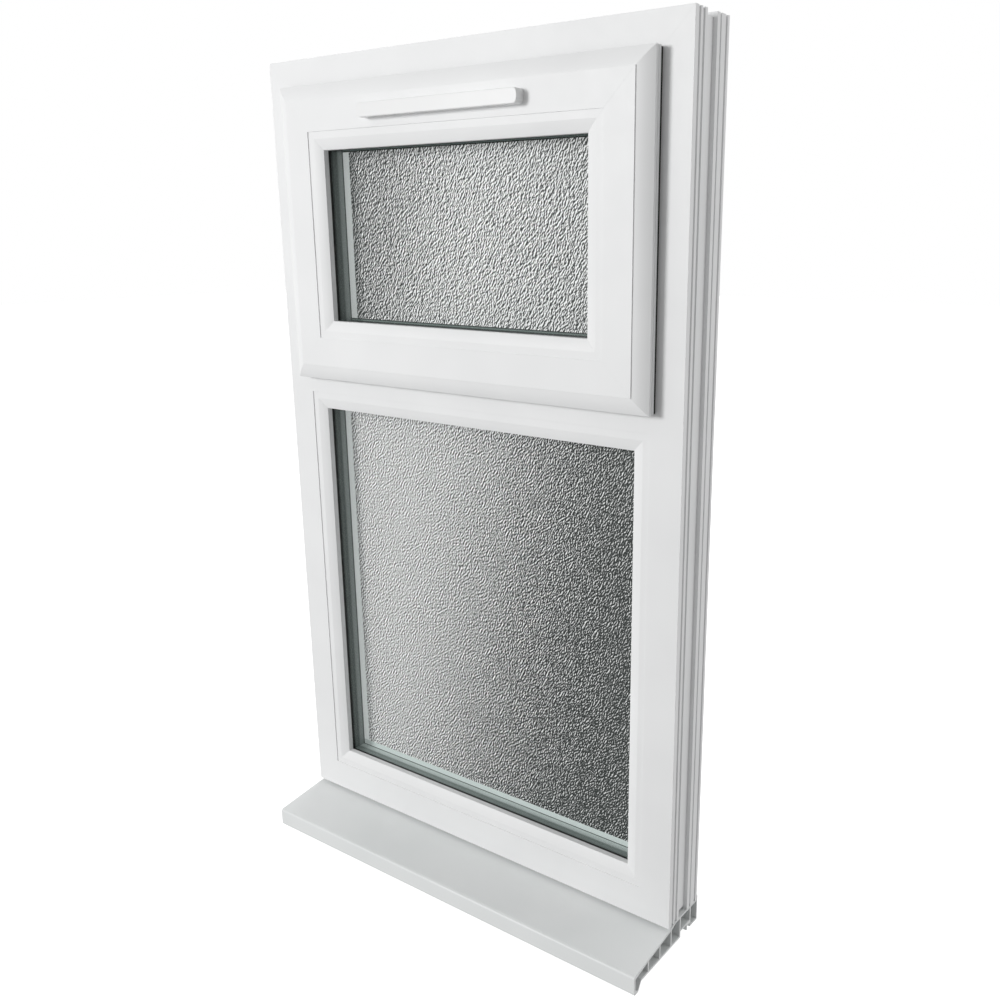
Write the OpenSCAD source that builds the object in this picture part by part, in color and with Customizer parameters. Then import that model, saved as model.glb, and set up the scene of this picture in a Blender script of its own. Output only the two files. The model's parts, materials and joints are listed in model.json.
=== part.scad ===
// Top-hung casement window over a fixed light, in white hollow profile, with its cill.
// Millimetres. X runs across the window, Y runs from outside to the room, Z runs up.
// The origin is on the underside of the cill, below the outside face of the frame, at mid width.

/* [Window] */
// Width over the frame
frame_w = 610; // [540:5:760]
// Height of the frame without the cill
frame_h = 1010; // [940:5:1240]
// Height of the opening between transom and head, rebate to rebate
opener_h = 344; // [320:1:400]

/* [Frame profile] */
// Depth of the frame from outside to room
frame_d = 70; // [68:1:76]
// Width of the flat outside face of a frame member
face_w = 40.7; // [38:0.1:44]
// Width of the flat outside face of the transom
transom_face = 29; // [27:0.1:34]
// Wall thickness of the profiles
wall = 2.8; // [2.4:0.1:3.2]
// Gap between sash and frame that takes the hardware
air_gap = 12; // [12:0.1:13]

/* [Glazing] */
// Width of a glazing bead, rebate to sightline
bead_w = 21.5; // [20:0.5:23]
// Thickness of each pane
pane_t = 4; // [4:0.5:5]
// Depth of the cavity between the panes
cavity = 20; // [16:1:20]

/* [Sash] */
// Distance that the sash face stands proud of the frame face
sash_proud = 22.3; // [20:0.1:24]
// Overlap of the sash flange on the frame face
sash_lap = 7.4; // [6:0.1:9]

/* [Cill] */
// Height of the cill between bed and frame
cill_h = 30; // [28:1:34]
// Projection of the cill nose in front of the frame face
cill_proj = 77; // [66:1:110]

/* [Trickle vent] */
// Length of the outside canopy
canopy_l = 236; // [180:1:260]
// Height of the outside canopy
canopy_h = 16; // [14:0.5:18]
// Projection of the outside canopy
canopy_d = 12; // [10:0.5:14]

/* [Handle] */
// Length of the lever from its pivot
lever_l = 112; // [90:1:125]

/* [Hidden] */
$fn = 48;
e = 0.01;
// Clearance between pieces that slide or that are set in a routed hole
fit = 0.2;
// Radial clearance of a turning pin
run_fit = 0.06;

// Main levels and half widths
half_w = frame_w / 2;
zf = cill_h;
frame_top = zf + frame_h;
floor_x = half_w - face_w;
head_z = frame_top - face_w;
sill_z = head_z - opener_h;
light_top = sill_z - transom_face;
light_bot = zf + face_w;
transom_mid = sill_z - transom_face / 2;

// Glazing stack, counted from the face of the frame or sash that holds it
quirk = 1;
bead_depth = 11.5;
bead_back = quirk + bead_depth;
gasket_out = 3;
gasket_in = 2;
unit_t = 2 * pane_t + cavity;
stack_y = bead_back + gasket_out;
upstand_y = stack_y + unit_t + gasket_in;
glass_gap = 5;
sealant_w = 6;
spacer_w = 7;

// Bead outline
bead_flat = 8.5;
bead_edge = 5.4;
bead_r = 56;
bead_wall = 2;
foot_y = 6;
foot_t = 2.4;
foot_h = 3;
foot_fit = 0.2;

// Outer side of the frame: shallow grooves and the broad fixing channel
rib_depth = 1.5;
rib_a = 6.9;
rib_a_w = 3.8;
rib_b = 14.5;
rib_b_w = 4.8;
chan_y = 23.9;
chan_w = 20.6;
chan_depth = 4.5;
rib_c = 50.5;
rib_c_w = 2.7;
rib_d = 62.1;
rib_d_w = 3.7;

// Room side bevel of every upstand
bevel_w = 11.7;
bevel_d = 12.5;
web = 1.4;

// Sash levels
face_y = -sash_proud;
seal_gap = 3.5;
sash_back = upstand_y - seal_gap;
flange_front = 8.3;
flange_back_y = -5;
chamfer_w = 18.2;
chamfer_r = 40;
stem_w = sash_lap + air_gap;
sash_flat_w = 36.5;
stem_web_y = 14;
seal_groove_y = 4.6;
seal_groove_d = 0.6;
seal_groove_w = 0.8;
rebate_w = chamfer_w + sash_flat_w;
sash_x = floor_x + sash_lap;
sash_z0 = sill_z - sash_lap;
sash_z1 = head_z + sash_lap;
sash_h = sash_z1 - sash_z0;
stem_x = sash_x - stem_w;
stem_z0 = sash_z0 + stem_w;
stem_z1 = sash_z1 - stem_w;
rebate_x = sash_x - rebate_w;
rebate_z0 = sash_z0 + rebate_w;
rebate_z1 = sash_z1 - rebate_w;
sash_up_y = face_y + upstand_y;

// Friction stay: a short arm, a sash bar, a long arm and a slider, in fixed proportion
stay_y = 24;
long_l = 0.436 * opener_h;
short_l = 0.2385 * long_l;
bar_l = 0.9246 * long_l;
pivot_drop = 21.3;
pivot_b = head_z - pivot_drop;
pivot_a = pivot_b - short_l;
pivot_c = pivot_b - bar_l;
pivot_s = pivot_c - long_l;
track_w = 18;
track_t = 1.5;
track_lip_h = 4.2;
lip_t = 1.5;
lip_return = 2.4;
lip_return_t = 1;
track_end = 7;
slider_len = 30;
track_foot = 12;
track_z0 = pivot_s - slider_len / 2 - track_foot;
track_z1 = head_z - track_end;
lip_below_pivot = 24;
slide_top = pivot_a - lip_below_pivot;
slider_t0 = track_t + fit;
slider_t1 = track_lip_h - fit;
slide_fit = 0.3;
slider_w = track_w - 2 * lip_t - 2 * slide_fit;
arm_w = 15;
arm_t0 = 5.7;
arm_t = 2.3;
bar_w = 16;
bar_t = 2.4;
pin_r = 3;
pin_head_r = 4.6;
pin_head_t = 0.7;
pin_end = 0.1;
collar_w = 2;
slider_collar_w = 1;
track_screw_foot = 6;
track_screw_mid = 14;
track_screw_top = 7;
bar_screw_end = 18;

// Bend in the top of the cill under the frame
cill_bend_y = 10.3;
cill_bend_d = 2.2;

// Gasket strips that bear on the glass, and the seals between sash and frame
gasket_h = 8;
gasket_set_back = 1;
frame_seal_inset = 2;
sash_seal_inset = 1;

// Glazing packers under the glass units
packer_l = 60;
packer_share = 0.62;
packer_inset = 1;

// Screws
screw_r = 2;
screw_hole_r = 2.1;
screw_head_r = 3.7;
screw_head_t = 1.2;
screw_l = 14;

// Lock gear in the bottom rail of the sash
gear_y = 24;
plate_w = 16;
plate_t = 2.3;
plate_l = 320;
gear_l = 56;
gear_d = 15;
gear_room = 0.5;
gear_h = rebate_w - stem_w - wall - gear_room;
backset = 25.3;
rod_w = 10;
rod_t = 2;
rod_travel = 20;
rod_end = 20;
cam_pitch = 210;
cam_r = 4.5;
cam_stem_r = 2.6;
cam_t = 1.6;
keep_l = 44;
keep_wall_l = 16;
keep_wall_w = 6.4;
keep_wall_h = 6;
keep_t = 1.4;
keep_front = 7;
keep_edge = 5;
keep_screw_back = 9;
cam_rise = 2;
spindle_a = 7;
rail_bore_l = 40;
hub_r = 5.2;
spindle_z = stem_z0 + backset;

// Handle
base_l = 66;
base_w = 24;
base_t = 9;
boss_r = 9.5;
lever_w = 18;
lever_gap = 20;
lever_t = 10;
handle_pitch = 43;
counterbore = 3;
handle_head_t = 1.6;
head_overlap = 0.5;
handle_screw_in = 2;
hub_room = 1;

// Trickle vent
canopy_drop = 44.8;
canopy_z = sash_z1 - canopy_drop;
canopy_t = 1.6;
canopy_r = 5.6;
canopy_edge = 0.5;
grille_pitch = 6;
grille_slot = 2.4;
slot_h = 9;
slot_l = 100;
slot_gap = 14;
slot_rise = 4;
slot_z = canopy_z + slot_rise;
vent_l = 262;
vent_drop = 4;
vent_z = canopy_z - vent_drop;
vent_screw_rise = 4;
vent_screw_z = vent_z + vent_screw_rise;
vent_screw_end = 8;
vent_h = 18.4;
vent_d = 8;
flap_t = 2;
flap_h = 14;
flap_pin_r = 1.3;
flap_pin_l = 5;
flap_side = 19;
flap_l = vent_l - 2 * flap_side;
flap_web_t = 1.2;
flap_room = 0.8;
flap_recess_up = 2.2;
flap_axis_in = 2.2;
flap_axis_up = 3;
flap_axis_y = sash_back + vent_d - flap_axis_in;
flap_axis_z = vent_z + flap_axis_up;

// Reach of the mitre cut before and behind a section
mitre_reach = 200;

// Colours
white = [0.92, 0.92, 0.92];
black = [0.03, 0.03, 0.03];
steel = [0.66, 0.67, 0.68];
clear = [0.75, 0.85, 0.82, 0.5];
obscure = [0.8, 0.82, 0.82, 0.8];
grey = [0.55, 0.56, 0.56];

// Centre of a circle of radius r through two points, on the room side of the chord
function arc_mid(p, q, r) = let (d = norm(q - p), h = sqrt(r * r - d * d / 4))
  (p + q) / 2 + h * [-(q[1] - p[1]), q[0] - p[0]] / d;

// Placing of members: X of a section runs in from the outer edge, Y is depth, and the length runs along Z
module upright(x0, z0) { translate([x0, 0, z0]) children(); }
module lower(x1, z0) { translate([x1, 0, z0]) rotate([0, -90, 0]) children(); }
module upper(x0, z1) { translate([x0, 0, z1]) rotate([0, 90, 0]) children(); }
module right_side() { mirror([1, 0, 0]) children(); }

// A straight length of section, cut at 45 degrees at both ends
module mitred(len, depth) {
  difference() {
    linear_extrude(len) children();
    mitre_wedge(depth);
    translate([0, 0, len]) mirror([0, 0, 1]) mitre_wedge(depth);
  }
}
module mitre_wedge(depth) {
  translate([0, mitre_reach, 0]) rotate([90, 0, 0]) linear_extrude(2 * mitre_reach)
    polygon([[0, 0], [depth, depth], [depth, -1], [0, -1]]);
}

// A plate cut in the plane across the window, with its outline drawn in Y and Z
module yz_plate(x0, t) { translate([x0, 0, 0]) rotate([90, 0, 90]) linear_extrude(t) children(); }
// A plate facing the room, with its outline drawn in X and Z
module xz_plate(y0, t) { translate([0, y0 + t, 0]) rotate([90, 0, 0]) linear_extrude(t) children(); }
module slot_2d(p, q, r) {
  d = q - p;
  translate(p) circle(r);
  translate(q) circle(r);
  translate(p) rotate(atan2(d[1], d[0])) translate([0, -r]) square([norm(d), 2 * r]);
}

// Frame profile
module frame_outline() {
  s1 = face_w + bead_w;
  polygon([[0, 0], [face_w, 0], [face_w, upstand_y], [s1, upstand_y], [s1, frame_d - bevel_d],
    [s1 - bevel_w, frame_d], [0, frame_d]]);
}
module bead_groove(s, side) {
  translate([side > 0 ? s - foot_h - foot_fit : s, foot_y - foot_fit])
    square([foot_h + foot_fit, foot_t + 2 * foot_fit]);
}
module frame_section() {
  s1 = face_w + bead_w;
  inner = face_w - wall;
  split = chan_y - wall;
  rear = chan_y + chan_w;
  difference() {
    frame_outline();
    bead_groove(face_w, 1);
    translate([-1, rib_a]) square([1 + rib_depth, rib_a_w]);
    translate([-1, rib_b]) square([1 + rib_depth, rib_b_w]);
    translate([-1, chan_y]) square([1 + chan_depth, chan_w]);
    translate([-1, rib_c]) square([1 + rib_depth, rib_c_w]);
    translate([-1, rib_d]) square([1 + rib_depth, rib_d_w]);
    translate([rib_depth + wall, wall]) square([inner - foot_h - rib_depth - wall, split - wall - web]);
    translate([chan_depth + wall, split]) square([inner - chan_depth - wall, rear - split - web]);
    translate([rib_depth + wall, rear + web])
      square([inner - rib_depth - wall, frame_d - wall - rear - web]);
    polygon([[face_w - web, upstand_y + wall], [s1 - wall, upstand_y + wall],
      [s1 - wall, frame_d - bevel_d - web], [s1 - bevel_w - web, frame_d - wall],
      [face_w - web, frame_d - wall]]);
  }
}
module frame_member(len) { mitred(len, face_w + bead_w + 1) frame_section(); }

// Transom profile, with X up from its centre line
module transom_section() {
  h = transom_face / 2;
  s1 = h + bead_w;
  difference() {
    polygon([[-h, 0], [h, 0], [h, upstand_y], [s1, upstand_y], [s1, frame_d - bevel_d],
      [s1 - bevel_w, frame_d], [-s1 + bevel_w, frame_d], [-s1, frame_d - bevel_d], [-s1, upstand_y],
      [-h, upstand_y]]);
    bead_groove(h, 1);
    bead_groove(-h, -1);
    translate([-h + foot_h + wall, wall]) square([2 * (h - foot_h - wall), chan_y - 2 * wall - web]);
    translate([-h + wall, chan_y - wall]) square([2 * (h - wall), chan_w + wall - web]);
    translate([-h + web, chan_y + chan_w + web])
      square([2 * (h - web), frame_d - wall - chan_y - chan_w - web]);
    for (k = [1, -1]) scale([k, 1])
      polygon([[h + web, upstand_y + wall], [s1 - wall, upstand_y + wall],
        [s1 - wall, frame_d - bevel_d - web], [s1 - bevel_w - web, frame_d - wall],
        [h + web, frame_d - wall]]);
  }
}

// Sash profile
module sash_section() {
  w1 = rebate_w + bead_w;
  q = [chamfer_w, face_y + quirk];
  p = [0, face_y + flange_front];
  c = arc_mid(p, q, chamfer_r);
  difference() {
    union() {
      intersection() {
        translate([0, face_y + quirk]) square([chamfer_w, flange_back_y - face_y - quirk]);
        translate(c) circle(chamfer_r, $fn = 96);
      }
      polygon([[chamfer_w - e, face_y], [rebate_w, face_y], [rebate_w, sash_up_y], [w1, sash_up_y],
        [w1, sash_back - bevel_d], [w1 - bevel_w, sash_back], [stem_w, sash_back],
        [stem_w, flange_back_y], [chamfer_w - e, flange_back_y]]);
    }
    translate([-1, flange_back_y - seal_groove_y]) square([1 + seal_groove_d, seal_groove_w]);
    bead_groove_at(rebate_w, face_y);
    polygon([[wall, face_y + flange_front + wall - 0.4], [chamfer_w - web, face_y + 2.4 * wall],
      [chamfer_w - web, flange_back_y - wall], [wall, flange_back_y - wall]]);
    translate([chamfer_w + web / 2, face_y + wall])
      square([rebate_w - chamfer_w - wall - foot_h - web / 2, flange_back_y - face_y - 2 * wall]);
    translate([stem_w + wall, flange_back_y])
      square([rebate_w - stem_w - 2 * wall, sash_up_y - flange_back_y - stem_web_y]);
    translate([stem_w + wall, sash_up_y - stem_web_y + web])
      square([rebate_w - stem_w - 2 * wall, sash_back - wall - sash_up_y + stem_web_y - web]);
    polygon([[rebate_w - web, sash_up_y + wall], [w1 - wall, sash_up_y + wall],
      [w1 - wall, sash_back - bevel_d - web], [w1 - bevel_w - web, sash_back - wall],
      [rebate_w - web, sash_back - wall]]);
  }
}
module bead_groove_at(s, y) { translate([0, y]) bead_groove(s, 1); }
module sash_member(len) { mitred(len, rebate_w + bead_w + 1) sash_section(); }

// Glazing bead, with X from the rebate floor to the sightline and Y from the face it sits behind
module bead_section() {
  p = [bead_flat, quirk];
  q = [bead_w, bead_edge];
  c = arc_mid(p, q, bead_r);
  difference() {
    union() {
      translate([0, quirk]) square([bead_flat + e, bead_depth]);
      intersection() {
        translate([bead_flat, quirk]) square([bead_w - bead_flat, bead_depth]);
        translate(c) circle(bead_r, $fn = 96);
      }
      translate([-foot_h, foot_y]) square([foot_h + e, foot_t]);
    }
    polygon([[bead_wall, quirk + bead_wall], [bead_flat, quirk + bead_wall],
      [bead_w - bead_wall, bead_edge + bead_wall], [bead_w - bead_wall, bead_back - bead_wall],
      [bead_wall, bead_back - bead_wall]]);
  }
}
module bead(len) { mitred(len, bead_w + 1) bead_section(); }

// A flat ring in the plane of the glass, between two insets from the rebate floor
module ring(w, z0, z1, y, t, out, inn) {
  xz_plate(y, t) difference() {
    translate([-w + out, z0 + out]) square([2 * (w - out), z1 - z0 - 2 * out]);
    translate([-w + inn, z0 + inn]) square([2 * (w - inn), z1 - z0 - 2 * inn]);
  }
}
module pane(w, z0, z1, y) {
  xz_plate(y, pane_t) translate([-w + glass_gap, z0 + glass_gap])
    square([2 * (w - glass_gap), z1 - z0 - 2 * glass_gap]);
}
module packers(w, z0, y) {
  for (k = [1, -1]) translate([k * w * packer_share - packer_l / 2, y + stack_y + packer_inset, z0])
    cube([packer_l, unit_t - 2 * packer_inset, glass_gap]);
}

// Frame members
module frame_head() {
  color(white) upper(-half_w, frame_top) frame_member(frame_w);
}
module frame_bottom_rail() {
  color(white) lower(half_w, zf) frame_member(frame_w);
}
module jamb() {
  difference() {
    upright(-half_w, zf) frame_member(frame_h);
    for (z = track_screw_z()) side_hole(floor_x - 1, screw_l + 1, z, screw_hole_r);
  }
}
module frame_jamb_left() { color(white) jamb(); }
module frame_jamb_right() { color(white) right_side() jamb(); }
module transom() {
  color(white) difference() {
    translate([half_w, 0, transom_mid]) rotate([0, -90, 0]) linear_extrude(frame_w) transom_section();
    for (k = [0, 1]) mirror([k, 0, 0]) translate([-half_w, 0, 0]) linear_extrude(frame_top) frame_outline();
    for (x = keep_x()) for (k = [1, -1])
      translate([x + k * keep_screw_dx, keep_screw_y, sill_z - screw_l])
        cylinder(screw_l + 1, r = screw_hole_r);
  }
}

// Cill, drawn in Y and Z and open at its ends
cill_skin = 2.5;
cill_web = 2.4;
cill_flat_y = 17;
cill_ease_y = 5.8;
cill_ease = 4.1;
nose_h = 25;
nose_drop = 16.5;
nose_top = cill_h - nose_drop;
nose_back = 15;
nose_foot = 9;
nose_r = 3;
step_y = 30;
step_h = 8;
hook_y = 45;
foot_front = 54;
web_a = 6.8;
web_pitch = 26.5;
lip_h = 5;
lip_w = 2.2;
function cill_top(y) = let (z1 = zf - cill_ease, m = (z1 - nose_top) / (cill_ease_y + cill_proj))
  z1 + (y - cill_ease_y) * m;
module cill_cell(y0, y1, z0) {
  polygon([[y0, z0], [y1, z0], [y1, cill_top(y1) - cill_skin], [y0, cill_top(y0) - cill_skin]]);
}
module cill_outline() {
  n = -cill_proj;
  difference() {
    polygon([[n, nose_top - nose_h], [n, nose_top], [cill_ease_y, cill_top(cill_ease_y)],
      [cill_bend_y, zf - cill_bend_d], [cill_flat_y, zf], [frame_d, zf], [frame_d, zf + lip_h],
      [frame_d + lip_w, zf + lip_h], [frame_d + lip_w, 0], [foot_front, 0],
      [foot_front, step_h - cill_skin],
      [hook_y + cill_web, step_h - cill_skin], [hook_y + cill_web, 0], [hook_y, 0], [hook_y, step_h],
      [step_y, step_h], [step_y, 0], [n + nose_back, 0], [n + nose_foot, nose_top - nose_h + 1]]);
    nose_corner(n, nose_top, 1);
    nose_corner(n, nose_top - nose_h, -1);
  }
}
module nose_corner(y, z, k) {
  translate([y, z]) scale([1, k]) difference() {
    translate([-1, -nose_r]) square([nose_r + 1, nose_r + 2]);
    translate([nose_r, -nose_r]) circle(nose_r);
  }
}
module cill() {
  n = -cill_proj;
  w3 = web_a;
  w2 = web_a - web_pitch;
  w1 = web_a - 2 * web_pitch;
  half = cill_web / 2;
  color(white) translate([-half_w, 0, 0]) rotate([90, 0, 90]) linear_extrude(frame_w) difference() {
    cill_outline();
    polygon([[n + cill_skin, nose_top - nose_h + cill_skin + nose_r],
      [n + cill_skin, nose_top - cill_skin - 1],
      [w1 - half, cill_top(w1) - cill_skin], [w1 - half, cill_skin], [n + nose_back, cill_skin],
      [n + nose_foot - 1, nose_top - nose_h + 1 + cill_skin]]);
    cill_cell(w1 + half, w2 - half, cill_skin);
    cill_cell(w2 + half, w3 - half, cill_skin);
    polygon([[w3 + half, cill_skin], [step_y - cill_skin, cill_skin], [step_y - cill_skin, zf - cill_skin],
      [cill_flat_y, zf - cill_skin], [w3 + half, zf - cill_ease - cill_skin]]);
    translate([step_y, step_h + cill_skin])
      square([foot_front - half - step_y, zf - cill_skin - step_h - cill_skin]);
    translate([foot_front + half, cill_skin])
      square([frame_d + lip_w - cill_skin - foot_front - half, zf - 2 * cill_skin]);
  }
}

// Fixed light
fixed_h = light_top - light_bot;
module fixed_bead_bottom() { color(white) lower(floor_x, light_bot) bead(2 * floor_x); }
module fixed_bead_top() { color(white) upper(-floor_x, light_top) bead(2 * floor_x); }
module fixed_bead_left() { color(white) upright(-floor_x, light_bot) bead(fixed_h); }
module fixed_bead_right() { color(white) right_side() upright(-floor_x, light_bot) bead(fixed_h); }
module fixed_outer_pane() { color(clear) pane(floor_x, light_bot, light_top, stack_y); }
module fixed_inner_pane() { color(obscure) pane(floor_x, light_bot, light_top, stack_y + pane_t + cavity); }
module unit_ring(w, z0, z1, y, out, inn) { ring(w, z0, z1, y + stack_y + pane_t, cavity, out, inn); }
module fixed_edge_seal() {
  color(black) unit_ring(floor_x, light_bot, light_top, 0, glass_gap, glass_gap + sealant_w);
}
module fixed_spacer_bar() {
  color(grey)
    unit_ring(floor_x, light_bot, light_top, 0, glass_gap + sealant_w, glass_gap + sealant_w + spacer_w);
}
module fixed_outer_gasket() {
  color(black) ring(floor_x, light_bot, light_top, bead_back, gasket_out, bead_w - gasket_h, bead_w);
}
module fixed_inner_gasket() {
  color(black)
    ring(floor_x, light_bot, light_top, upstand_y - gasket_in, gasket_in, bead_w - gasket_h,
      bead_w - gasket_set_back);
}
module fixed_glazing_packers() { color(black) packers(floor_x, light_bot, 0); }
module frame_seal() {
  color(black) ring(floor_x, sill_z, head_z, sash_back + fit, seal_gap - fit,
    air_gap + frame_seal_inset, bead_w - frame_seal_inset);
}

// Sash members
module sash_top_rail() {
  color(white) difference() {
    upper(-sash_x, sash_z1) sash_member(2 * sash_x);
    vent_slots(face_y - 1, sash_back - face_y + 2);
    for (x = vent_screw_x()) translate([x, sash_back - screw_l, vent_screw_z]) rotate([-90, 0, 0])
      cylinder(screw_l + 1, r = screw_hole_r);
  }
}
module sash_bottom_rail() {
  color(white) difference() {
    lower(sash_x, sash_z0) sash_member(2 * sash_x);
    translate([-gear_l / 2 - fit, gear_y - gear_d / 2 - fit, stem_z0 - 1])
      cube([gear_l + 2 * fit, gear_d + 2 * fit, wall + 2]);
    translate([0, gear_y, spindle_z]) rotate([-90, 0, 0]) cylinder(rail_bore_l, r = hub_r + hub_room);
    for (k = [1, -1]) translate([k * handle_pitch / 2, gear_y, spindle_z]) rotate([-90, 0, 0])
      cylinder(rail_bore_l, r = screw_hole_r);
  }
}
module stile() {
  difference() {
    upright(-sash_x, sash_z0) sash_member(sash_h);
    for (z = bar_screw_z()) side_hole(stem_x + 1, -(screw_l + 1), z, screw_hole_r);
  }
}
module sash_stile_left() { color(white) stile(); }
module sash_stile_right() { color(white) right_side() stile(); }
module at_sash() { translate([0, face_y, 0]) children(); }
sash_light_h = rebate_z1 - rebate_z0;
module sash_bead_bottom() { color(white) at_sash() lower(rebate_x, rebate_z0) bead(2 * rebate_x); }
module sash_bead_top() { color(white) at_sash() upper(-rebate_x, rebate_z1) bead(2 * rebate_x); }
module sash_bead_left() { color(white) at_sash() upright(-rebate_x, rebate_z0) bead(sash_light_h); }
module sash_bead_right() {
  color(white) right_side() at_sash() upright(-rebate_x, rebate_z0) bead(sash_light_h);
}
module sash_outer_pane() { color(clear) pane(rebate_x, rebate_z0, rebate_z1, face_y + stack_y); }
module sash_inner_pane() {
  color(obscure) pane(rebate_x, rebate_z0, rebate_z1, face_y + stack_y + pane_t + cavity);
}
module sash_edge_seal() {
  color(black) unit_ring(rebate_x, rebate_z0, rebate_z1, face_y, glass_gap, glass_gap + sealant_w);
}
module sash_spacer_bar() {
  color(grey) unit_ring(rebate_x, rebate_z0, rebate_z1, face_y, glass_gap + sealant_w,
    glass_gap + sealant_w + spacer_w);
}
module sash_outer_gasket() {
  color(black)
    ring(rebate_x, rebate_z0, rebate_z1, face_y + bead_back, gasket_out, bead_w - gasket_h, bead_w);
}
module sash_inner_gasket() {
  color(black)
    ring(rebate_x, rebate_z0, rebate_z1, sash_up_y - gasket_in, gasket_in, bead_w - gasket_h,
      bead_w - gasket_set_back);
}
module sash_glazing_packers() { color(black) packers(rebate_x, rebate_z0, face_y); }
module sash_seal() {
  color(black) ring(sash_x, sash_z0, sash_z1, flange_back_y, -flange_back_y - fit,
    sash_seal_inset, sash_lap - sash_seal_inset);
}

// Friction stays, drawn on the left side: t counts from the frame towards the sash
function track_screw_z() =
  [track_z0 + track_screw_foot, pivot_a - track_screw_mid, track_z1 - track_screw_top];
function bar_screw_z() = [pivot_c + bar_screw_end, (pivot_b + pivot_c) / 2, pivot_b - bar_screw_end];
module side_plate(t0, t) { yz_plate(-floor_x + t0, t) children(); }
module side_pin(t0, t, z, r) {
  translate([-floor_x + t0, stay_y, z]) rotate([0, 90, 0]) cylinder(t, r = r);
}
module side_hole(x, len, z, r) {
  translate([-x, stay_y, z]) rotate([0, len > 0 ? -90 : 90, 0]) cylinder(abs(len), r = r);
}
module stay_track() {
  difference() {
    union() {
      side_plate(0, track_t) translate([stay_y - track_w / 2, track_z0])
        square([track_w, track_z1 - track_z0]);
      for (k = [1, -1]) {
        side_plate(0, track_lip_h + lip_return_t)
          translate([stay_y + k * (track_w - lip_t) / 2 - lip_t / 2, track_z0])
          square([lip_t, slide_top - track_z0]);
        side_plate(track_lip_h, lip_return_t)
          translate([stay_y + k * (track_w - lip_return) / 2 - lip_return / 2, track_z0])
          square([lip_return, slide_top - track_z0]);
      }
      side_pin(0, arm_t0 - fit, pivot_a, pin_r + collar_w);
      side_pin(0, arm_t0 + arm_t + fit + pin_head_t, pivot_a, pin_r);
      side_pin(arm_t0 + arm_t + fit, pin_head_t, pivot_a, pin_head_r);
    }
    for (z = track_screw_z()) side_pin(-1, track_t + 2, z, screw_hole_r);
  }
}
module stay_track_left() { color(steel) stay_track(); }
module stay_track_right() { color(steel) right_side() stay_track(); }
module side_screw(t0, dir, z) {
  translate([-floor_x + t0, stay_y, z]) rotate([0, dir * 90, 0]) {
    cylinder(screw_head_t, r = screw_head_r);
    translate([0, 0, -screw_l + fit]) cylinder(screw_l, r = screw_r);
  }
}
module track_screws() {
  color(steel) for (k = [0, 1]) mirror([k, 0, 0]) for (z = track_screw_z()) side_screw(track_t, 1, z);
}
module arm_2d(z0, z1) {
  difference() {
    slot_2d([stay_y, z0], [stay_y, z1], arm_w / 2);
    translate([stay_y, z0]) circle(pin_r + run_fit);
    translate([stay_y, z1]) circle(pin_r + run_fit);
  }
}
module short_arm() { side_plate(arm_t0, arm_t) arm_2d(pivot_a, pivot_b); }
module short_arm_left() { color(steel) short_arm(); }
module short_arm_right() { color(steel) right_side() short_arm(); }
module long_arm() { side_plate(arm_t0, arm_t) arm_2d(pivot_s, pivot_c); }
module long_arm_left() { color(steel) long_arm(); }
module long_arm_right() { color(steel) right_side() long_arm(); }
module slider() {
  side_plate(slider_t0, slider_t1 - slider_t0) translate([stay_y - slider_w / 2, pivot_s - slider_len / 2])
    square([slider_w, slider_len]);
  side_pin(slider_t0, arm_t0 - fit - slider_t0, pivot_s, pin_r + slider_collar_w);
  side_pin(slider_t0, arm_t0 + arm_t + fit + pin_head_t - slider_t0, pivot_s, pin_r);
  side_pin(arm_t0 + arm_t + fit, pin_head_t, pivot_s, pin_head_r);
}
module slider_left() { color(black) slider(); }
module slider_right() { color(black) right_side() slider(); }
module sash_bar() {
  t0 = air_gap - bar_t;
  difference() {
    union() {
      side_plate(t0, bar_t) slot_2d([stay_y, pivot_c], [stay_y, pivot_b], bar_w / 2);
      for (z = [pivot_b, pivot_c]) {
        side_pin(arm_t0 - pin_end, t0 - arm_t0 + pin_end + e, z, pin_r);
        side_pin(arm_t0 + arm_t + fit, t0 - arm_t0 - arm_t - fit + pin_end, z, pin_r + collar_w);
      }
    }
    for (z = bar_screw_z()) side_pin(t0 - 1, bar_t + 2, z, screw_hole_r);
  }
}
module sash_bar_left() { color(steel) sash_bar(); }
module sash_bar_right() { color(steel) right_side() sash_bar(); }
module bar_screws() {
  color(steel) for (k = [0, 1]) mirror([k, 0, 0])
    for (z = bar_screw_z()) side_screw(air_gap - bar_t, -1, z);
}

// Lock gear, rod and keeps
keep_screw_dx = 15;
keep_screw_y = gear_y + keep_screw_back;
function keep_x() = [for (k = [1, -1]) k * cam_pitch / 2 - rod_travel];
module lock_gear() {
  color(steel) difference() {
    union() {
      translate([-plate_l / 2, gear_y - plate_w / 2, stem_z0 - plate_t]) cube([plate_l, plate_w, plate_t]);
      translate([-gear_l / 2, gear_y - gear_d / 2, stem_z0 - e]) cube([gear_l, gear_d, gear_h]);
    }
    translate([0, gear_y - gear_d, spindle_z]) rotate([-90, 0, 0]) cylinder(2 * gear_d, r = hub_r);
    for (k = [1, -1]) translate([k * handle_pitch / 2, gear_y - gear_d, spindle_z]) rotate([-90, 0, 0])
      cylinder(2 * gear_d, r = screw_hole_r);
  }
}
rod_z = stem_z0 - plate_t - fit - rod_t;
cam_z = sill_z + cam_rise;
module lock_rod() {
  color(steel) {
    translate([-cam_pitch / 2 - rod_end, gear_y - rod_w / 2, rod_z])
      cube([cam_pitch + 2 * rod_end, rod_w, rod_t]);
    for (k = [1, -1]) translate([k * cam_pitch / 2, gear_y, 0]) {
      translate([0, 0, cam_z]) cylinder(rod_z - cam_z + e, r = cam_stem_r);
      translate([0, 0, cam_z]) cylinder(cam_t, r = cam_r);
    }
  }
}
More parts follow.
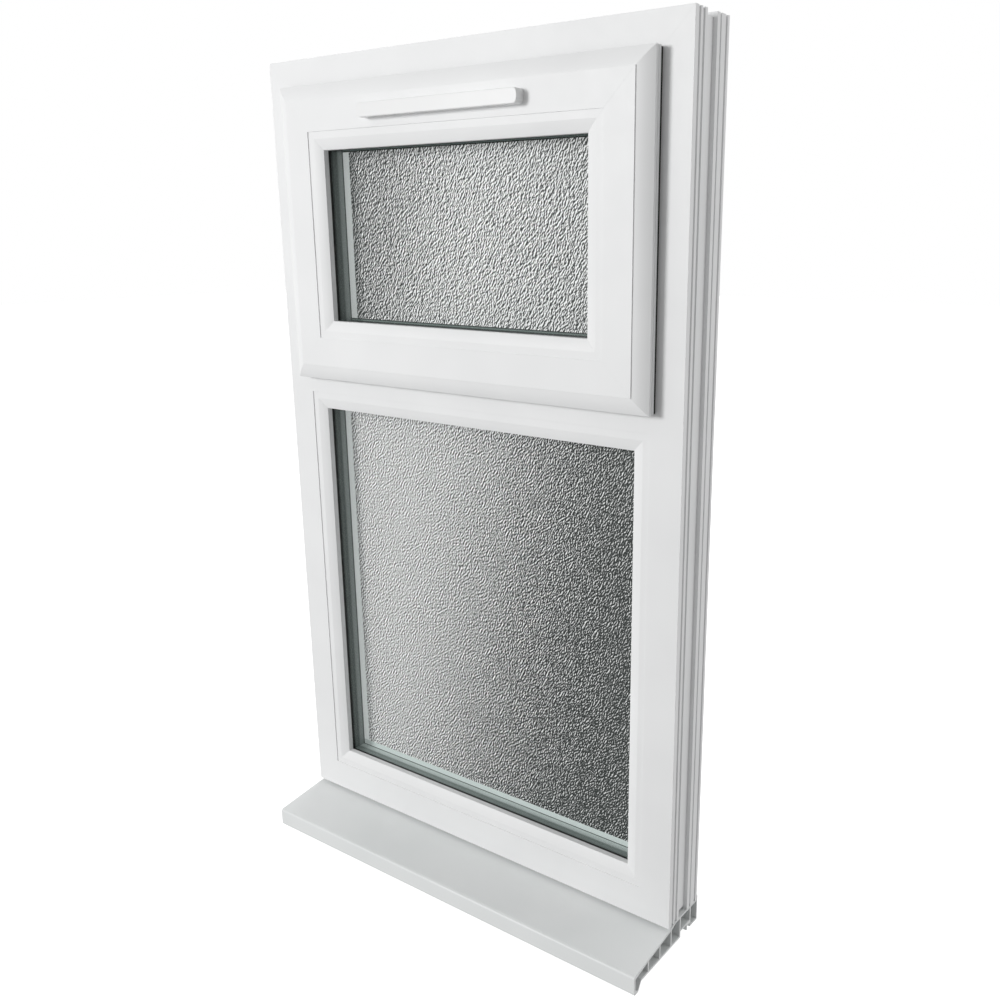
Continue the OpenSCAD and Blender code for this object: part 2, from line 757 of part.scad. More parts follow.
module lock_keeps() {
  y0 = gear_y - cam_r - keep_front;
  color(steel) difference() {
    for (x = keep_x()) {
      translate([x - keep_l / 2, y0, sill_z]) cube([keep_l, keep_screw_y + keep_edge - y0, keep_t]);
      translate([x - keep_wall_l / 2, y0, sill_z]) cube([keep_wall_l, keep_wall_w, keep_wall_h]);
    }
    for (x = keep_x()) for (k = [1, -1]) translate([x + k * keep_screw_dx, keep_screw_y, sill_z - 1])
      cylinder(keep_t + 2, r = screw_hole_r);
  }
}
module keep_screws() {
  color(steel) for (x = keep_x()) for (k = [1, -1])
    translate([x + k * keep_screw_dx, keep_screw_y, sill_z + keep_t]) {
      cylinder(screw_head_t, r = screw_head_r);
      translate([0, 0, -screw_l + fit]) cylinder(screw_l, r = screw_r);
    }
}

// Handle on the room face of the bottom rail, lever upright when unlocked
handle_y = sash_back;
module handle_base() {
  color(white) translate([0, 0, spindle_z]) difference() {
    xz_plate(handle_y, base_t)
      slot_2d([-base_l / 2 + base_w / 2, 0], [base_l / 2 - base_w / 2, 0], base_w / 2);
    translate([0, handle_y - 1, 0]) rotate([-90, 0, 0]) cylinder(base_t + 2, r = hub_r);
    for (k = [1, -1]) translate([k * handle_pitch / 2, handle_y - 1, 0]) rotate([-90, 0, 0]) {
      cylinder(base_t + 2, r = screw_hole_r);
      translate([0, 0, base_t + 1 - counterbore]) cylinder(counterbore + 1, r = screw_head_r + fit);
    }
  }
}
module handle_screws() {
  color(steel) for (k = [1, -1]) translate([k * handle_pitch / 2, 0, spindle_z]) {
    translate([0, handle_y + base_t - counterbore, 0]) rotate([-90, 0, 0])
      cylinder(handle_head_t, r = screw_head_r);
    translate([0, gear_y + handle_screw_in, 0]) rotate([-90, 0, 0])
      cylinder(handle_y + base_t - counterbore + head_overlap - gear_y - handle_screw_in, r = screw_r);
  }
}
module handle_lever() {
  y1 = handle_y + lever_gap;
  color(white) translate([0, 0, spindle_z]) {
    translate([0, handle_y + base_t + fit, 0]) rotate([-90, 0, 0])
      cylinder(lever_gap - base_t - fit + e, r = boss_r);
    translate([0, gear_y, 0]) rotate([-90, 0, 0])
      cylinder(handle_y + base_t - gear_y + 1, r = spindle_a / 2);
    translate([0, gear_y - gear_d / 2, 0]) rotate([-90, 0, 0]) cylinder(gear_d, r = hub_r - run_fit);
    translate([0, handle_y + 1, 0]) rotate([-90, 0, 0]) cylinder(base_t, r = hub_r - run_fit);
    xz_plate(y1, lever_t) slot_2d([0, 0], [0, lever_l - lever_w / 2], lever_w / 2);
  }
}

// Trickle vent: outside canopy, slots through the top rail, body and flap on the room side
function vent_screw_x() = [for (k = [1, -1]) k * (vent_l / 2 - vent_screw_end)];
module vent_slots(y, len) {
  for (k = [1, -1]) translate([k * (slot_gap + slot_l) / 2 - slot_l / 2, y, slot_z])
    cube([slot_l, len, slot_h]);
}
module canopy_2d(inset) {
  r = canopy_r - inset;
  x = canopy_l / 2 - canopy_r;
  z0 = canopy_z + canopy_r;
  z1 = canopy_z + canopy_h - canopy_r;
  for (k = [1, -1]) for (z = [z0, z1]) translate([k * x, z]) circle(r);
  translate([-x, z0 - r]) square([2 * x, z1 - z0 + 2 * r]);
  translate([-x - r, z0]) square([2 * x + 2 * r, z1 - z0]);
}
module vent_canopy() {
  grille_x = canopy_l / 2 - canopy_h;
  color(white) difference() {
    union() {
      xz_plate(face_y - canopy_d + canopy_edge, canopy_d - canopy_edge) canopy_2d(0);
      xz_plate(face_y - canopy_d, canopy_edge) canopy_2d(canopy_edge);
    }
    xz_plate(face_y - canopy_d + canopy_t, canopy_d) canopy_2d(canopy_t);
    for (i = [0 : floor(2 * grille_x / grille_pitch) - 1])
      translate([-grille_x + (i + 0.5) * grille_pitch, face_y - canopy_d + 2 * canopy_t, canopy_z - 1])
        cube([grille_slot, canopy_d - 4 * canopy_t, canopy_t + 2]);
  }
}
module vent_body() {
  color(white) difference() {
    translate([-vent_l / 2, sash_back, vent_z]) cube([vent_l, vent_d, vent_h]);
    vent_slots(sash_back - 1, vent_d + 2);
    for (x = vent_screw_x()) translate([x, sash_back - 1, vent_screw_z]) rotate([-90, 0, 0])
      cylinder(vent_d + 2, r = screw_hole_r);
    translate([-flap_l / 2 - 1, flap_axis_y - flap_pin_r - flap_room, vent_z - 1])
      cube([flap_l + 2, vent_d, flap_axis_z - vent_z + 1 + flap_recess_up]);
    translate([-flap_l / 2 - flap_pin_l, flap_axis_y, flap_axis_z]) rotate([0, 90, 0])
      cylinder(flap_l + 2 * flap_pin_l, r = flap_pin_r + run_fit);
  }
}
module vent_screws() {
  color(steel) for (x = vent_screw_x()) translate([x, sash_back + vent_d, vent_screw_z]) rotate([-90, 0, 0]) {
    cylinder(screw_head_t, r = screw_head_r);
    translate([0, 0, -screw_l + fit]) cylinder(screw_l, r = screw_r);
  }
}
module vent_flap() {
  plate_y = sash_back + vent_d + fit;
  color(white) {
    translate([-flap_l / 2 - flap_pin_l + fit, flap_axis_y, flap_axis_z]) rotate([0, 90, 0])
      cylinder(flap_l + 2 * flap_pin_l - 2 * fit, r = flap_pin_r);
    translate([-flap_l / 2, flap_axis_y - flap_web_t / 2, flap_axis_z])
      cube([flap_l, plate_y - flap_axis_y + flap_web_t / 2 + pin_end, flap_web_t]);
    translate([-flap_l / 2, plate_y, flap_axis_z]) cube([flap_l, flap_t, flap_h]);
  }
}

frame_head();
frame_bottom_rail();
frame_jamb_left();
frame_jamb_right();
transom();
cill();
fixed_bead_top();
fixed_bead_bottom();
fixed_bead_left();
fixed_bead_right();
fixed_outer_pane();
fixed_spacer_bar();
fixed_edge_seal();
fixed_inner_pane();
fixed_outer_gasket();
fixed_inner_gasket();
fixed_glazing_packers();
frame_seal();
stay_track_left();
stay_track_right();
track_screws();
lock_keeps();
keep_screws();
sash_top_rail();
sash_bottom_rail();
sash_stile_left();
sash_stile_right();
sash_bead_top();
sash_bead_bottom();
sash_bead_left();
sash_bead_right();
sash_outer_pane();
sash_spacer_bar();
sash_edge_seal();
sash_inner_pane();
sash_outer_gasket();
sash_inner_gasket();
sash_glazing_packers();
sash_seal();
vent_canopy();
vent_body();
vent_screws();
vent_flap();
sash_bar_left();
sash_bar_right();
bar_screws();
lock_gear();
lock_rod();
handle_base();
handle_screws();
handle_lever();
short_arm_left();
short_arm_right();
long_arm_left();
long_arm_right();
slider_left();
slider_right();
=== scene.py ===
import json
import math
import bpy
import bmesh
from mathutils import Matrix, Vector


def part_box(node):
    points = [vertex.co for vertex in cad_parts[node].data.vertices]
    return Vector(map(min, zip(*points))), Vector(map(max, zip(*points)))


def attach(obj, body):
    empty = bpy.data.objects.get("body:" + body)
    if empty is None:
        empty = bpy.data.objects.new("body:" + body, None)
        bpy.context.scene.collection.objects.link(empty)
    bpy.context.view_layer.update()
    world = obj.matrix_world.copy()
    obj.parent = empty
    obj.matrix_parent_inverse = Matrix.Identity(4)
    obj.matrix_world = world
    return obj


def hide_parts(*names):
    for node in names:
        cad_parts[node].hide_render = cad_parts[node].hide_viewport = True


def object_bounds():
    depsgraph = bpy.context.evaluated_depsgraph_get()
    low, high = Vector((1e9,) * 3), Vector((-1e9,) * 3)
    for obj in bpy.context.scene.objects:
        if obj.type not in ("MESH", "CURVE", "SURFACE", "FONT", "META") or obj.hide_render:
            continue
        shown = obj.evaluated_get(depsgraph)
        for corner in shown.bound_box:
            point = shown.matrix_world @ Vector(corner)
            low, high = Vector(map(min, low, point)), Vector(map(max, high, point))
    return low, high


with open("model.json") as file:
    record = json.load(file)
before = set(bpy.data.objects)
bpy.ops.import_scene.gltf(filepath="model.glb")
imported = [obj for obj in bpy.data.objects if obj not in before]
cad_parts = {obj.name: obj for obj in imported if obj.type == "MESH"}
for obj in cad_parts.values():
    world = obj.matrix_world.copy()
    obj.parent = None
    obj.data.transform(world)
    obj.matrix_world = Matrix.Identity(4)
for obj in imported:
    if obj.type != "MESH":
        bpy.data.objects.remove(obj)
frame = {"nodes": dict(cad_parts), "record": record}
cad_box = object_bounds()
nodes = frame["nodes"]
scene = bpy.context.scene

# Colours, each as a darker and a lighter shade
PROFILE_WHITE = (0.80, 0.805, 0.808), (0.835, 0.84, 0.842)
CILL_WHITE = (0.74, 0.76, 0.757), (0.775, 0.79, 0.788)
VENT_WHITE = (0.80, 0.803, 0.803), (0.83, 0.835, 0.835)
HANDLE_WHITE = (0.78, 0.785, 0.787), (0.82, 0.825, 0.826)
FLOOR_WHITE = (0.93, 0.93, 0.93), (0.95, 0.95, 0.95)
CLEAR_GLASS = (0.44, 0.52, 0.50), (0.48, 0.55, 0.53)
SEALANT_BLACK = (0.006, 0.008, 0.008), (0.02, 0.024, 0.023)
GASKET_BLACK = (0.008, 0.008, 0.008), (0.022, 0.022, 0.022)
SLIDER_BLACK = (0.03, 0.03, 0.032), (0.05, 0.05, 0.052)
PACKER_BLUE = (0.05, 0.06, 0.08), (0.09, 0.10, 0.13)
STAY_STEEL = (0.50, 0.50, 0.51), (0.68, 0.68, 0.69)
LOCK_STEEL = (0.45, 0.46, 0.47), (0.62, 0.63, 0.65)
PURE_WHITE = (1.0, 1.0, 1.0, 1.0)

# Brushed lines run up the stays and across the lock
STAY_LINES = (1.0, 1.0, 0.03)
LOCK_LINES = (0.03, 1.0, 1.0)
EDGE_SAMPLES = 4

# Spacer bar: tones from the outer pane to the inner one, the share of light left on its uprights as
# painted shade, and its fine holes
SPACER_TONES = [
    (0.00, (0.20, 0.25, 0.235)), (0.16, (0.34, 0.40, 0.38)), (0.30, (0.26, 0.31, 0.295)),
    (0.42, (0.22, 0.27, 0.255)), (0.50, (0.36, 0.42, 0.40)), (0.56, (0.62, 0.68, 0.665)),
    (0.74, (0.70, 0.76, 0.745)), (0.89, (0.66, 0.72, 0.70)), (0.92, (0.05, 0.06, 0.06)),
    (0.96, (0.05, 0.06, 0.06)), (1.00, (0.48, 0.54, 0.52))]
UPRIGHT_SHADE = 0.42
HOLE_SCALE = 450.0
HOLE_JITTER = 0.15
HOLE_TONES = [(0.18, (0.55, 0.56, 0.56)), (0.34, (1.0, 1.0, 1.0))]

# Obscure pane: its cast pattern with painted lit and shaded sides on each pebble, the range of its tones,
# and a painted glow standing in for light from behind
PEBBLE_SCALE = 480.0
PEBBLE_ROUGH = 0.45
PEBBLE_LEAN = math.radians(-28)
PEBBLE_STRETCH = (1.0, 1.0, 0.58)
PEBBLE_LIGHT_STEP = (0.00075, 0.0, -0.00046)
PEBBLE_GAIN = 5.0
PEBBLE_SHADE = 1.5
PANE_DARKEST = 0.008
PANE_LIGHTEST = 0.9
PANE_GLOW = 0.3

# Painted reflection over each pane, as a slow change of tone: a base, and rises as centre, width,
# direction and amount
BASE_TONE = {"fixed": 0.53, "sash": 0.03}
REFLECTION_RISES = {
    "fixed": [(-0.055, 0.46, (1.0, 0.0, -0.24), -0.78)],
    "sash": [(-0.19, 0.24, (1.0, 0.0, -0.1), 0.42), (0.0, 0.26, (1.0, 0.0, -0.15), -0.17)]}

# Painted reflections as strips along each pane's edges, as side, width from the spacer bar's edge and
# colour, widest first
WHITE_REFLECTION_STRIP = (0.88, 0.92, 0.91)
PALE_REFLECTION_STRIP = (0.54, 0.60, 0.585)
SPACER_REFLECTION_STRIP = (0.10, 0.13, 0.12)
GASKET_REFLECTION_STRIP = (0.01, 0.013, 0.012)
EDGE_REFLECTIONS = {
    "fixed": [("left", 0.0175, WHITE_REFLECTION_STRIP), ("bottom", 0.0145, PALE_REFLECTION_STRIP)],
    "sash": [
        ("left", 0.0175, WHITE_REFLECTION_STRIP),
        ("bottom", 0.0125, GASKET_REFLECTION_STRIP), ("bottom", 0.0112, SPACER_REFLECTION_STRIP), ("bottom", 0.0095, GASKET_REFLECTION_STRIP),
        ("top", 0.0110, GASKET_REFLECTION_STRIP), ("top", 0.0096, SPACER_REFLECTION_STRIP), ("top", 0.0080, GASKET_REFLECTION_STRIP)]}

# Handle lever: its grip inside the plain lever's box, then its neck down to the base
GRIP_SIDE_INSET = 0.0006
GRIP_HALF_T = 0.0049
GRIP_CENTRE_IN = 0.0051
GRIP_END_R = 0.0085
GRIP_END_GAP = 0.0003
TIP_WIDTH_SHARE = 0.03
TIP_THICKNESS_SHARE = 0.35
WAIST_SHARE = 0.16
WAIST_PLACE = 1.15
GRIP_SQUARENESS = 2.6
GRIP_SIDES = 28
GRIP_STEPS = 44
NECK_R = 0.0092
NECK_WAIST = 0.0022
NECK_CURVE = 1.3
NECK_SINK = 0.002
NECK_GAP = 0.0003
NECK_SIDES = 32
NECK_STEPS = 12

# Floor
FLOOR_HALF = 12.0
FLOOR_CELLS = 8
FLOOR_GAP = 0.002
FLOOR_GLOW = 0.6

# Light: surroundings that dim towards one side, and lamps as name, place, size and power
SKY_DIM_SIDE = (0.58, -0.81, 0.05)
SKY_DIM_START = -0.2
SKY_BRIGHT = 0.72
SKY_DIM = 0.29
LAMP_TARGET = Vector((0.0, 0.0, 0.5))
LAMPS = [
    ("room", (-1.3, 3.2, 2.0), 1.6, 36.0),
    ("key", (-1.8, -3.4, 1.45), 1.1, 92.0),
    ("side", (2.6, 1.3, 0.9), 1.2, 15.0)]

# Camera, fitted to the frame's corners
SENSOR_MM = 36.0
LENS_MM = 36.414
LENS_SHIFT_X = -0.070655
LENS_SHIFT_Y = 0.00725
CLIP_NEAR = 0.01
CLIP_FAR = 100.0
CAMERA_PLACE = (0.80446, -0.91312, 0.83229)
CAMERA_DIP = 0.2644
CAMERA_TURN = 0.6132

# Places of the colour sockets in a mix node
MIX_UNDER = 6
MIX_OVER = 7
MIX_RESULT = 2


# Node helpers
def give(tree, socket, value):
    """A socket takes a link from another socket, or a plain value."""
    if isinstance(value, bpy.types.NodeSocket):
        tree.links.new(value, socket)
    else:
        socket.default_value = value


def give_all(tree, node, **inputs):
    """Inputs go by name, with an underscore for each space."""
    for key, value in inputs.items():
        give(tree, node.inputs[key.replace("_", " ")], value)


def add(tree, kind, **inputs):
    node = tree.nodes.new(kind)
    give_all(tree, node, **inputs)
    return node


def new_material(name):
    mat = bpy.data.materials.new(name)
    mat.use_nodes = True
    tree = mat.node_tree
    return mat, tree, tree.nodes["Principled BSDF"]


def object_place(tree):
    return add(tree, "ShaderNodeTexCoord").outputs["Object"]


def mapped(tree, place, **change):
    return add(tree, "ShaderNodeMapping", Vector=place, **change).outputs["Vector"]


def parts_of(tree, vector):
    return add(tree, "ShaderNodeSeparateXYZ", Vector=vector).outputs


def noise(tree, place, scale, detail=3.0, rough=0.5):
    node = add(tree, "ShaderNodeTexNoise", Vector=place, Scale=scale, Detail=detail, Roughness=rough)
    return node.outputs["Fac"]


def ramp(tree, fac, stops):
    node = add(tree, "ShaderNodeValToRGB", Fac=fac)
    elements = node.color_ramp.elements
    while len(elements) < len(stops):
        elements.new(0.5)
    for element, (place, colour) in zip(elements, stops):
        element.position = place
        element.color = (*colour, 1.0)
    return node.outputs["Color"]


def between(tree, fac, shades, start=0.3, end=0.7):
    return ramp(tree, fac, [(start, shades[0]), (end, shades[1])])


def spread(tree, value, low, high, start=0.0, end=1.0, curve="LINEAR"):
    node = add(tree, "ShaderNodeMapRange", Value=value, To_Min=low, To_Max=high)
    give_all(tree, node, From_Min=start, From_Max=end)
    node.interpolation_type = curve
    return node.outputs["Result"]


def bump(tree, height, strength, distance, under=None):
    node = add(tree, "ShaderNodeBump", Height=height, Strength=strength, Distance=distance)
    if under is not None:
        give_all(tree, node, Normal=under)
    return node.outputs["Normal"]


def soft_edge(tree, radius):
    node = add(tree, "ShaderNodeBevel", Radius=radius)
    node.samples = EDGE_SAMPLES
    return node.outputs["Normal"]


def calc(tree, operation, first, second):
    node = add(tree, "ShaderNodeMath")
    node.operation = operation
    give(tree, node.inputs[0], first)
    give(tree, node.inputs[1], second)
    return node.outputs["Value"]


def way_along(tree, vector, direction):
    node = add(tree, "ShaderNodeVectorMath")
    node.operation = "DOT_PRODUCT"
    give(tree, node.inputs[0], vector)
    give(tree, node.inputs[1], direction)
    return node.outputs["Value"]


def scaled(tree, vector, share):
    node = add(tree, "ShaderNodeVectorMath")
    node.operation = "SCALE"
    give(tree, node.inputs[0], vector)
    give_all(tree, node, Scale=share)
    return node.outputs["Vector"]


def mixed(tree, factor, under, over, blend="MIX"):
    node = add(tree, "ShaderNodeMix")
    node.data_type = "RGBA"
    node.blend_type = blend
    give_all(tree, node, Factor=factor)
    give(tree, node.inputs[MIX_UNDER], under)
    give(tree, node.inputs[MIX_OVER], over)
    return node.outputs[MIX_RESULT]


# White plastic: even colour with a slow change of shade, satin gloss and a very fine grain
def white_plastic(name, shades, rough, edge):
    mat, tree, shader = new_material(name)
    place = object_place(tree)
    slow = noise(tree, place, scale=9.0, detail=2.0)
    cloud = noise(tree, place, scale=60.0)
    fine = noise(tree, place, scale=900.0, detail=2.0)
    give_all(
        tree, shader,
        Base_Color=between(tree, slow, shades),
        Roughness=spread(tree, cloud, low=rough - 0.05, high=rough + 0.05),
        Normal=bump(tree, fine, strength=0.04, distance=0.0002, under=soft_edge(tree, edge)),
        Specular_IOR_Level=0.32)
    return mat


# Black rubber and sealant, with a little dust
def black_rubber(name, shades, rough):
    mat, tree, shader = new_material(name)
    dust = noise(tree, object_place(tree), scale=300.0, detail=4.0)
    give_all(
        tree, shader,
        Base_Color=between(tree, dust, shades, start=0.35, end=0.75),
        Roughness=spread(tree, dust, low=rough, high=rough + 0.15),
        Normal=bump(tree, dust, strength=0.15, distance=0.0003))
    return mat


# Brushed metal: long fine lines along one direction
def brushed_metal(name, shades, rough, stretch):
    mat, tree, shader = new_material(name)
    lines = noise(tree, mapped(tree, object_place(tree), Scale=stretch), scale=1500.0, detail=2.0)
    give_all(
        tree, shader,
        Base_Color=between(tree, lines, shades, start=0.25, end=0.75),
        Roughness=spread(tree, lines, low=rough - 0.06, high=rough + 0.08),
        Normal=bump(tree, lines, strength=0.1, distance=0.0002, under=soft_edge(tree, 0.0003)),
        Metallic=1.0)
    return mat


# Moulded plastic of the sliders and packers
def moulded_plastic(name, shades, rough):
    mat, tree, shader = new_material(name)
    grain = noise(tree, object_place(tree), scale=700.0)
    give_all(
        tree, shader,
        Base_Color=between(tree, grain, shades),
        Roughness=spread(tree, grain, low=rough - 0.08, high=rough + 0.08),
        Normal=bump(tree, grain, strength=0.12, distance=0.0003))
    return mat


# Spacer bar: mill aluminium in the unit's edge, with lengthwise bands, fine holes and painted shade on
# its uprights
def spacer_metal(name, bar):
    mat, tree, shader = new_material(name)
    near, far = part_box(bar)
    coordinates = add(tree, "ShaderNodeTexCoord").outputs
    place = coordinates["Object"]
    depth = spread(tree, parts_of(tree, place)["Y"], low=0.0, high=1.0, start=near.y, end=far.y)
    holes = add(tree, "ShaderNodeTexVoronoi", Vector=place, Scale=HOLE_SCALE, Randomness=HOLE_JITTER)
    dots = ramp(tree, holes.outputs["Distance"], HOLE_TONES)
    pierced = mixed(tree, 1.0, ramp(tree, depth, SPACER_TONES), dots, "MULTIPLY")
    # Painted shade: faces that turn away from up are darkened, as the uprights stand in shade
    painted_upright_shade = spread(tree, parts_of(tree, coordinates["Normal"])["Z"], low=UPRIGHT_SHADE, high=1.0)
    scuff = noise(tree, place, scale=200.0, detail=2.0)
    give_all(
        tree, shader,
        Base_Color=scaled(tree, pierced, painted_upright_shade),
        Roughness=spread(tree, scuff, low=0.32, high=0.46),
        Normal=bump(tree, scuff, strength=0.1, distance=0.0003),
        Metallic=0.25)
    return mat


# Clear outer pane: see-through with a faint body colour, and no mirror image of the lamps
def clear_glass(name):
    mat, tree, shader = new_material(name)
    ripple = noise(tree, object_place(tree), scale=3.0, detail=1.0)
    give_all(
        tree, shader,
        Base_Color=between(tree, ripple, CLEAR_GLASS),
        Roughness=0.02,
        Alpha=0.06,
        Specular_IOR_Level=0.0)
    mat.surface_render_method = "BLENDED"
    return mat


# Obscure pane: cast pattern of small slanting pebbles with painted light and shade on their sides, a
# painted reflection over the pane, painted reflections as strips along its edges, and a painted glow
def pebbles(tree, step):
    moved = mapped(tree, object_place(tree), Location=step)
    leaning = mapped(tree, moved, Rotation=(0.0, PEBBLE_LEAN, 0.0))
    stretched = mapped(tree, leaning, Scale=PEBBLE_STRETCH)
    return noise(tree, stretched, PEBBLE_SCALE, detail=1.0, rough=PEBBLE_ROUGH)


def painted_reflection_tone(tree, unit):
    total = BASE_TONE[unit]
    for centre, width, direction, amount in REFLECTION_RISES[unit]:
        way = way_along(tree, object_place(tree), direction)
        rise = spread(tree, way, 0.0, amount, centre - width / 2, centre + width / 2, "SMOOTHSTEP")
        total = calc(tree, "ADD", rise, total)
    return total


def edge_mask(tree, side, width, near, far):
    place = parts_of(tree, object_place(tree))
    if side == "left":
        return calc(tree, "LESS_THAN", place["X"], near.x + width)
    if side == "bottom":
        return calc(tree, "LESS_THAN", place["Z"], near.z + width)
    return calc(tree, "GREATER_THAN", place["Z"], far.z - width)


def obscure_glass(name, unit, bar):
    mat, tree, shader = new_material(name)
    height = pebbles(tree, (0.0, 0.0, 0.0))
    # Painted light and shade: each pebble gets a lit side and a shaded side, as if lit from the upper
    # left
    slope = calc(tree, "SUBTRACT", height, pebbles(tree, PEBBLE_LIGHT_STEP))
    painted_pebble_shading = calc(tree, "MULTIPLY", slope, PEBBLE_GAIN)
    painted_pebble_shading = calc(tree, "MINIMUM", painted_pebble_shading, calc(tree, "MULTIPLY", painted_pebble_shading, PEBBLE_SHADE))
    # Painted reflection: slow bright and dark areas over the pane
    level = calc(tree, "ADD", painted_pebble_shading, painted_reflection_tone(tree, unit))
    level = calc(tree, "MAXIMUM", level, PANE_DARKEST)
    level = calc(tree, "MINIMUM", level, PANE_LIGHTEST)
    colour = add(tree, "ShaderNodeCombineColor", Red=level, Green=level, Blue=level).outputs["Color"]
    near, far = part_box(bar)
    # Painted reflections: plain strips of the spacer bar's and gasket's look along the pane's edges
    for side, width, reflected_colour in EDGE_REFLECTIONS[unit]:
        colour = mixed(tree, edge_mask(tree, side, width, near, far), colour, (*reflected_colour, 1.0))
    give_all(
        tree, shader,
        Base_Color=colour,
        # Painted glow: the pane gives off its own colour, standing in for light from behind
        Emission_Color=colour,
        Emission_Strength=PANE_GLOW,
        Roughness=spread(tree, height, low=0.34, high=0.52),
        Normal=bump(tree, height, strength=0.25, distance=0.0008),
        Specular_IOR_Level=0.15)
    return mat


# Materials by slot, and by node for the spacer bars and the obscure panes
handle_white = white_plastic("handle_white", HANDLE_WHITE, rough=0.28, edge=0.001)
slot_materials = {
    "profile_white": white_plastic("profile_white", PROFILE_WHITE, rough=0.46, edge=0.00025),
    "cill_white": white_plastic("cill_white", CILL_WHITE, rough=0.34, edge=0.0008),
    "vent_white": white_plastic("vent_white", VENT_WHITE, rough=0.38, edge=0.0005),
    "handle_white": handle_white,
    "clear_glass": clear_glass("clear_glass"),
    "sealant": black_rubber("sealant", SEALANT_BLACK, rough=0.35),
    "gasket_rubber": black_rubber("gasket_rubber", GASKET_BLACK, rough=0.55),
    "packer_plastic": moulded_plastic("packer_plastic", PACKER_BLUE, rough=0.5),
    "slider_plastic": moulded_plastic("slider_plastic", SLIDER_BLACK, rough=0.5),
    "stay_steel": brushed_metal("stay_steel", STAY_STEEL, rough=0.3, stretch=STAY_LINES),
    "lock_steel": brushed_metal("lock_steel", LOCK_STEEL, rough=0.34, stretch=LOCK_LINES),
}
node_materials = {}
for unit in ("fixed", "sash"):
    bar = unit + "_spacer_bar"
    node_materials[bar] = spacer_metal("spacer_metal_" + unit, bar)
    node_materials[unit + "_inner_pane"] = obscure_glass("obscure_glass_" + unit, unit, bar)
slots = {item["node"]: item["material_slot"] for item in frame["record"]["subparts"]}
for name, obj in nodes.items():
    obj.data.materials.clear()
    obj.data.materials.append(node_materials.get(name) or slot_materials[slots[name]])


# Meshes
def loft(work, rings):
    loops = [[work.verts.new(point) for point in ring] for ring in rings]
    for below, above in zip(loops, loops[1:]):
        for i in range(len(below)):
            j = (i + 1) % len(below)
            work.faces.new((below[i], below[j], above[j], above[i]))
    work.faces.new(list(reversed(loops[0])))
    work.faces.new(loops[-1])


def new_object(name, work, material):
    mesh = bpy.data.meshes.new(name)
    work.to_mesh(mesh)
    work.free()
    mesh.materials.append(material)
    obj = bpy.data.objects.new(name, mesh)
    scene.collection.objects.link(obj)
    return obj


# Handle lever: a softly rounded grip on a waisted neck, in the place of the plain lever
def soft_square(centre, half_x, half_y):
    points = []
    for i in range(GRIP_SIDES):
        angle = 2 * math.pi * i / GRIP_SIDES
        c = math.cos(angle)
        s = math.sin(angle)
        x = math.copysign(abs(c) ** (2 / GRIP_SQUARENESS), c) * half_x
        y = math.copysign(abs(s) ** (2 / GRIP_SQUARENESS), s) * half_y
        points.append(centre + Vector((x, y, 0.0)))
    return points


def grip_rings(low, high, spindle_z):
    half_w = (high.x - low.x) / 2 - GRIP_SIDE_INSET
    first = spindle_z - GRIP_END_R
    last = high.z - GRIP_END_GAP
    rings = []
    for i in range(GRIP_STEPS + 1):
        share = (1 - math.cos(math.pi * i / GRIP_STEPS)) / 2
        z = first + (last - first) * share
        from_end = min(1.0, min(z - first, last - z) / GRIP_END_R)
        rounded = max(TIP_WIDTH_SHARE, math.sqrt(max(0.0, 1 - (1 - from_end) ** 2)))
        waist = 1 - WAIST_SHARE * math.sin(math.pi * min(1.0, share * WAIST_PLACE)) ** 2
        half_t = GRIP_HALF_T * (TIP_THICKNESS_SHARE + (1 - TIP_THICKNESS_SHARE) * rounded)
        centre = Vector((0.0, high.y - GRIP_CENTRE_IN, z))
        rings.append(soft_square(centre, half_w * waist * rounded, half_t))
    return rings


def neck_rings(foot_y, top_y, spindle_z):
    rings = []
    for i in range(NECK_STEPS + 1):
        share = i / NECK_STEPS
        radius = NECK_R - NECK_WAIST * math.sin(math.pi * share) ** NECK_CURVE
        y = foot_y + (top_y - foot_y) * share
        ring = []
        for k in range(NECK_SIDES):
            angle = 2 * math.pi * k / NECK_SIDES
            ring.append(Vector((radius * math.cos(angle), y, spindle_z - radius * math.sin(angle))))
        rings.append(ring)
    return rings


def lever_piece(name):
    low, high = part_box("handle_lever")
    spindle_z = low.z + (high.x - low.x) / 2
    neck_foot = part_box("handle_base")[1].y + NECK_GAP
    neck_top = high.y - GRIP_CENTRE_IN - NECK_SINK
    work = bmesh.new()
    loft(work, grip_rings(low, high, spindle_z))
    loft(work, neck_rings(neck_foot, neck_top, spindle_z))
    bmesh.ops.recalc_face_normals(work, faces=work.faces[:])
    for face in work.faces:
        face.smooth = len(face.verts) == 4
    return new_object(name, work, handle_white)


lever = lever_piece("handle_grip")
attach(lever, "handle")
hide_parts("handle_lever")


# Floor: pale and plain, and throwing no light on the window
def floor_paper(name):
    mat, tree, shader = new_material(name)
    cloud = noise(tree, object_place(tree), scale=2.0, detail=2.0)
    give_all(
        tree, shader,
        Base_Color=between(tree, cloud, FLOOR_WHITE),
        Roughness=0.9,
        Specular_IOR_Level=0.1,
        Emission_Color=PURE_WHITE,
        Emission_Strength=FLOOR_GLOW)
    return mat


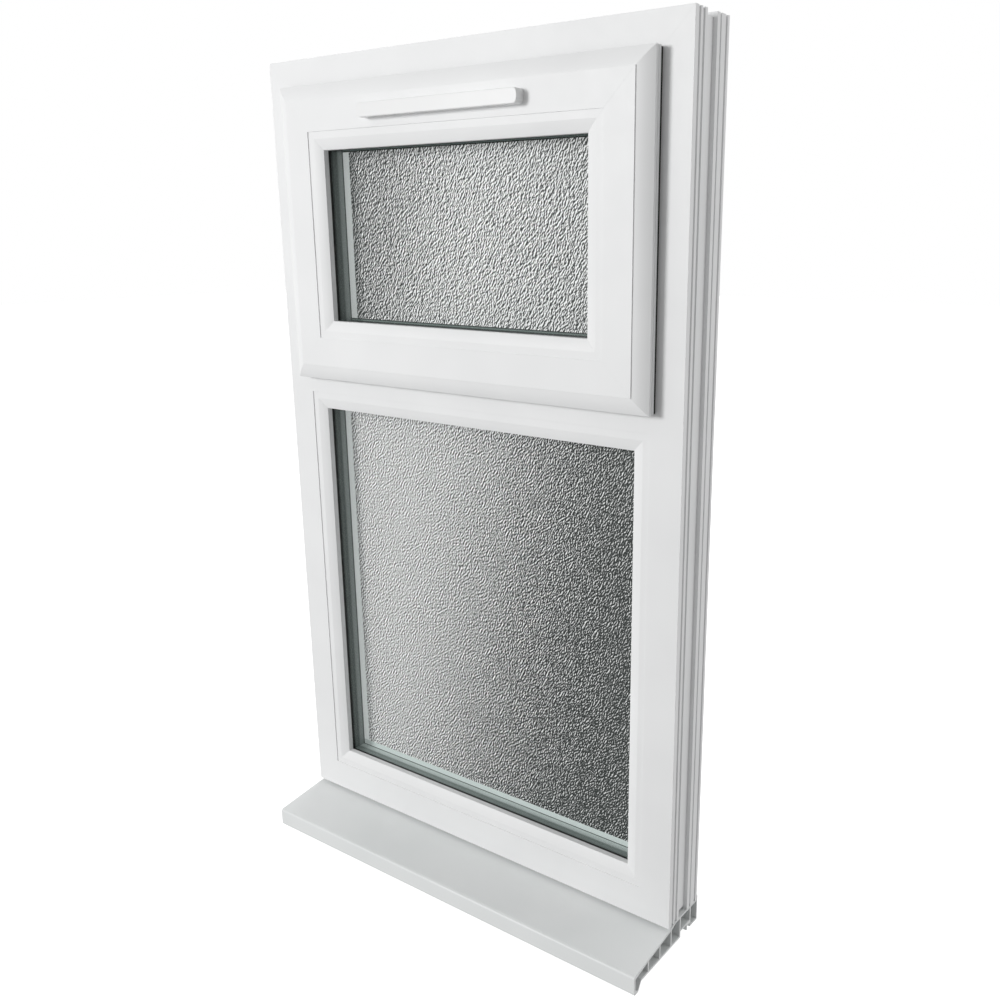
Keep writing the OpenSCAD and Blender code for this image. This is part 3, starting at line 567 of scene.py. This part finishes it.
sheet = bmesh.new()
bmesh.ops.create_grid(sheet, x_segments=FLOOR_CELLS, y_segments=FLOOR_CELLS, size=FLOOR_HALF)
floor = new_object("floor", sheet, floor_paper("floor_pale"))
floor.location = (0.0, 0.0, cad_box[0].z - FLOOR_GAP)
floor.visible_diffuse = False
floor.visible_glossy = False

# Surroundings: soft light on the window, and plain white behind it
world = bpy.data.worlds.new("studio")
scene.world = world
world.use_nodes = True
sky = world.node_tree
towards = way_along(sky, add(sky, "ShaderNodeTexCoord").outputs["Generated"], SKY_DIM_SIDE)
soft = sky.nodes["Background"]
give_all(sky, soft, Color=PURE_WHITE, Strength=spread(sky, towards, SKY_BRIGHT, SKY_DIM, SKY_DIM_START))
plain = add(sky, "ShaderNodeBackground", Color=PURE_WHITE)
seen = add(sky, "ShaderNodeLightPath").outputs["Is Camera Ray"]
either = add(sky, "ShaderNodeMixShader", Fac=seen)
give(sky, either.inputs[1], soft.outputs["Background"])
give(sky, either.inputs[2], plain.outputs["Background"])
give_all(sky, sky.nodes["World Output"], Surface=either.outputs["Shader"])

# Lamps
for name, place, size, power in LAMPS:
    lamp_data = bpy.data.lights.new(name, "AREA")
    lamp_data.shape = "SQUARE"
    lamp_data.size = size
    lamp_data.energy = power
    lamp = bpy.data.objects.new(name, lamp_data)
    lamp.location = place
    lamp.rotation_euler = (LAMP_TARGET - Vector(place)).to_track_quat("-Z", "Y").to_euler()
    scene.collection.objects.link(lamp)

# Camera
cam_data = bpy.data.cameras.new("camera")
cam_data.sensor_width = SENSOR_MM
cam_data.lens = LENS_MM
cam_data.shift_x = LENS_SHIFT_X
cam_data.shift_y = LENS_SHIFT_Y
cam_data.clip_start = CLIP_NEAR
cam_data.clip_end = CLIP_FAR
camera = bpy.data.objects.new("camera", cam_data)
camera.location = CAMERA_PLACE
camera.rotation_euler = (math.radians(90) - CAMERA_DIP, 0.0, CAMERA_TURN)
scene.collection.objects.link(camera)
scene.camera = camera
scene.view_settings.view_transform = "Standard"
scene.view_settings.look = "None"

bpy.context.view_layer.update()
